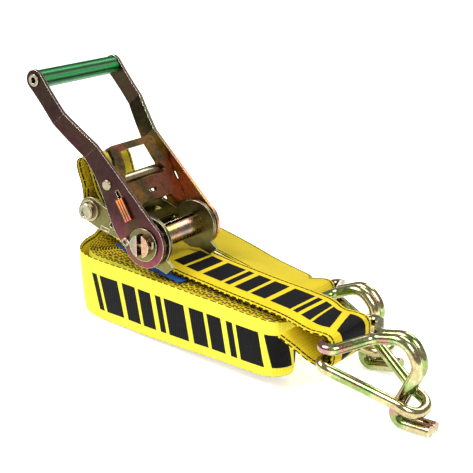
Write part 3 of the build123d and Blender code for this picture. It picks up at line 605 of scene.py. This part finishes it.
def shortStrap():
    lean = math.radians(stack["lean"])
    half = webbing["width"] / 2
    bolt = (boltCentre - mandrelCentre) * 1000
    bx, bz = bolt.x, bolt.z + mandrelHeight

    def stacked(height, offset):
        x = bx - math.sin(lean) * height + math.cos(lean) * offset
        z = bz + math.cos(lean) * height + math.sin(lean) * offset
        return (x, -half, z), (x, half, z)

    loop = [
        (16, -4.4), (8, -6.6), (0, -8.4), (-6.2, -5.8), (-8.4, 0), (-6.2, 5.8), (0, 8.4), (6, 7.4), (13, 5.2),
        (20, 4.6), (29, 4.2), (35, 3.2), (38.4, 0.2), (39.0, -3.4), (37.0, -6.6), (32, -7.6), (26, -7.2),
        (20, -6.6), (12, -7.2),
    ]
    pairs = [stacked(height, offset) for height, offset in loop]
    pairs += [
        ((-65.5, -24.0, 97.0), (-67.0, 25.0, 99.0)), ((-64.5, -13.0, 86.0), (-68.5, 36.0, 91.0)),
        ((-58.0, 5.0, 75.0), (-70.0, 53.5, 80.0)), ((-51.0, 25.0, 66.0), (-66.0, 72.5, 69.0)),
        ((-42.0, 44.0, 60.0), (-50.0, 93.0, 60.5)), ((-28.0, 52.0, 57.2), (-24.0, 101.0, 50.5)),
        ((0.0, 45.5, 54.0), (12.0, 93.5, 44.5)), ((27.0, 35.0, 53.0), (44.0, 80.5, 41.7)),
        ((70.0, 16.5, 51.4), (83.0, 62.5, 42.0)),
    ]
    pairs += [hookPair("b", u, w) for u, w in eyePath]
    under = [((70.0, 16.5, 51.2), (83.0, 62.5, 42.0)), ((52.0, 25.0, 52.0), (68.0, 70.5, 41.8))]
    rows = smoothPairs(pairs + lowered(under, stack["underDrop"]))
    return strapMesh("shortStrap", rows, webbing["thickness"], webbing["columns"], loopWebbing, wave=0.1, seed=8)


strapA, lengthA = longStrap()
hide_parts("long_strap_coil", "long_strap_run")
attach(strapA, "frame")
strapB, lengthB = shortStrap()
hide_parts("short_strap_run", "short_strap_stack")
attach(strapB, "frame")
print("straps", round(lengthA, 3), round(lengthB, 3))


labelTape = {"thickness": 0.5, "columns": 3, "nearHeight": 51.3, "farHeight": 51.5, "lean": (0.38, 0.92)}


def labelStrip():
    leanX, leanY = labelTape["lean"]
    pairs = []
    for x, y, width in [(-72, 17.0, 2.0), (-45, 2.5, 3.0), (-15, -14.5, 4.5), (5, -21.5, 6.0), (25, -28.0, 7.5)]:
        far = (x + leanX * width, y + leanY * width, labelTape["farHeight"])
        pairs.append(((x, y, labelTape["nearHeight"]), far))
    rows = smoothPairs(pairs)
    return strapMesh("labelStrip", rows, labelTape["thickness"], labelTape["columns"], blueLabel)[0]


label = labelStrip()
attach(label, "frame")


# A copy of the CAD spring in its place on the joint's body; it returns the spring's length along the joint's
# axis.
def shorteningSpring(name, nodeName, body, jointName):
    joint = next(entry for entry in frame["record"]["behaviour"]["joints"] if entry["name"] == jointName)
    axis = Vector(joint["axis"]).normalized()
    node = frame["nodes"][nodeName]
    mesh = node.data.copy()
    mesh.transform(node.matrix_world)
    piece = bpy.data.objects.new(name, mesh)
    bpy.context.scene.collection.objects.link(piece)
    reaches = [vertex.co.dot(axis) for vertex in mesh.vertices]
    length = max(reaches) - min(reaches)
    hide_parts(nodeName)
    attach(piece, body)
    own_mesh(piece)
    return length


springLengths = [
    shorteningSpring("drivePawlSprings", "drive_pawl_springs", "handle", "drive_pawl_slide"),
    shorteningSpring("lockPawlSpring", "lock_pawl_spring", "frame", "lock_pawl_slide"),
]
print("springs", [round(length, 4) for length in springLengths])


room = {
    "floorSize": 6.0, "floorHeight": -0.0006, "floorTone": 0.93, "floorGlow": 0.62, "floorRoughness": 0.8,
    "fill": 0.34, "backdrop": 0.95, "aim": (0, 0, 0.08),
    "lamps": [((-0.9, -1.0, 1.6), 1.1, 34.0), ((1.2, -0.7, 1.3), 0.8, 22.0), ((0.2, 1.3, 1.5), 1.0, 16.0)],
}


def studio():
    bpy.ops.mesh.primitive_plane_add(size=room["floorSize"], location=(0, 0, room["floorHeight"]))
    floor = bpy.context.object
    floor.name = "floor"
    material, tree, shader = nodeTree("floorPaint")
    shader.inputs["Base Color"].default_value = (room["floorTone"], room["floorTone"], room["floorTone"], 1)
    shader.inputs["Roughness"].default_value = room["floorRoughness"]
    shader.inputs["Emission Color"].default_value = (1, 1, 1, 1)
    shader.inputs["Emission Strength"].default_value = room["floorGlow"]
    floor.data.materials.append(material)
    world = bpy.data.worlds.new("studioWorld")
    bpy.context.scene.world = world
    world.use_nodes = True
    background = world.node_tree.nodes["Background"]
    background.inputs[0].default_value = (1.0, 1.0, 1.0, 1)
    rays = world.node_tree.nodes.new("ShaderNodeLightPath")
    seen = rays.outputs["Is Camera Ray"]  # the backdrop looks paler than the light it gives
    strength = math2(world.node_tree, "MULTIPLY_ADD", seen, room["backdrop"] - room["fill"], room["fill"])
    world.node_tree.links.new(strength, background.inputs[1])
    for index, (position, size, power) in enumerate(room["lamps"]):
        data = bpy.data.lights.new(f"softLamp{index}", "AREA")
        data.size = size
        data.energy = power
        lamp = bpy.data.objects.new(f"softLamp{index}", data)
        lamp.location = position
        lamp.rotation_euler = (Vector(room["aim"]) - Vector(position)).to_track_quat("-Z", "Y").to_euler()
        bpy.context.scene.collection.objects.link(lamp)


studio()
camera = {
    "offset": (0.4919, -0.6492, 0.2540), "elevation": 17.556, "heading": 33.80, "lens": 86.0, "sensor": 36.0,
}
cameraData = bpy.data.cameras.new("viewCamera")
cameraData.lens = camera["lens"]
cameraData.sensor_width = camera["sensor"]
cameraData.clip_start = 0.01
viewCamera = bpy.data.objects.new("viewCamera", cameraData)
viewCamera.location = mandrelCentre + Vector(camera["offset"])
heading = math.radians(camera["heading"])
elevation = math.radians(camera["elevation"])
levelShare = math.cos(elevation)
forward = Vector((-math.sin(heading) * levelShare, math.cos(heading) * levelShare, -math.sin(elevation)))
viewCamera.rotation_euler = forward.to_track_quat("-Z", "Y").to_euler()
bpy.context.scene.collection.objects.link(viewCamera)
bpy.context.scene.camera = viewCamera
bpy.context.scene.view_settings.view_transform = "Standard"
print("stage set")
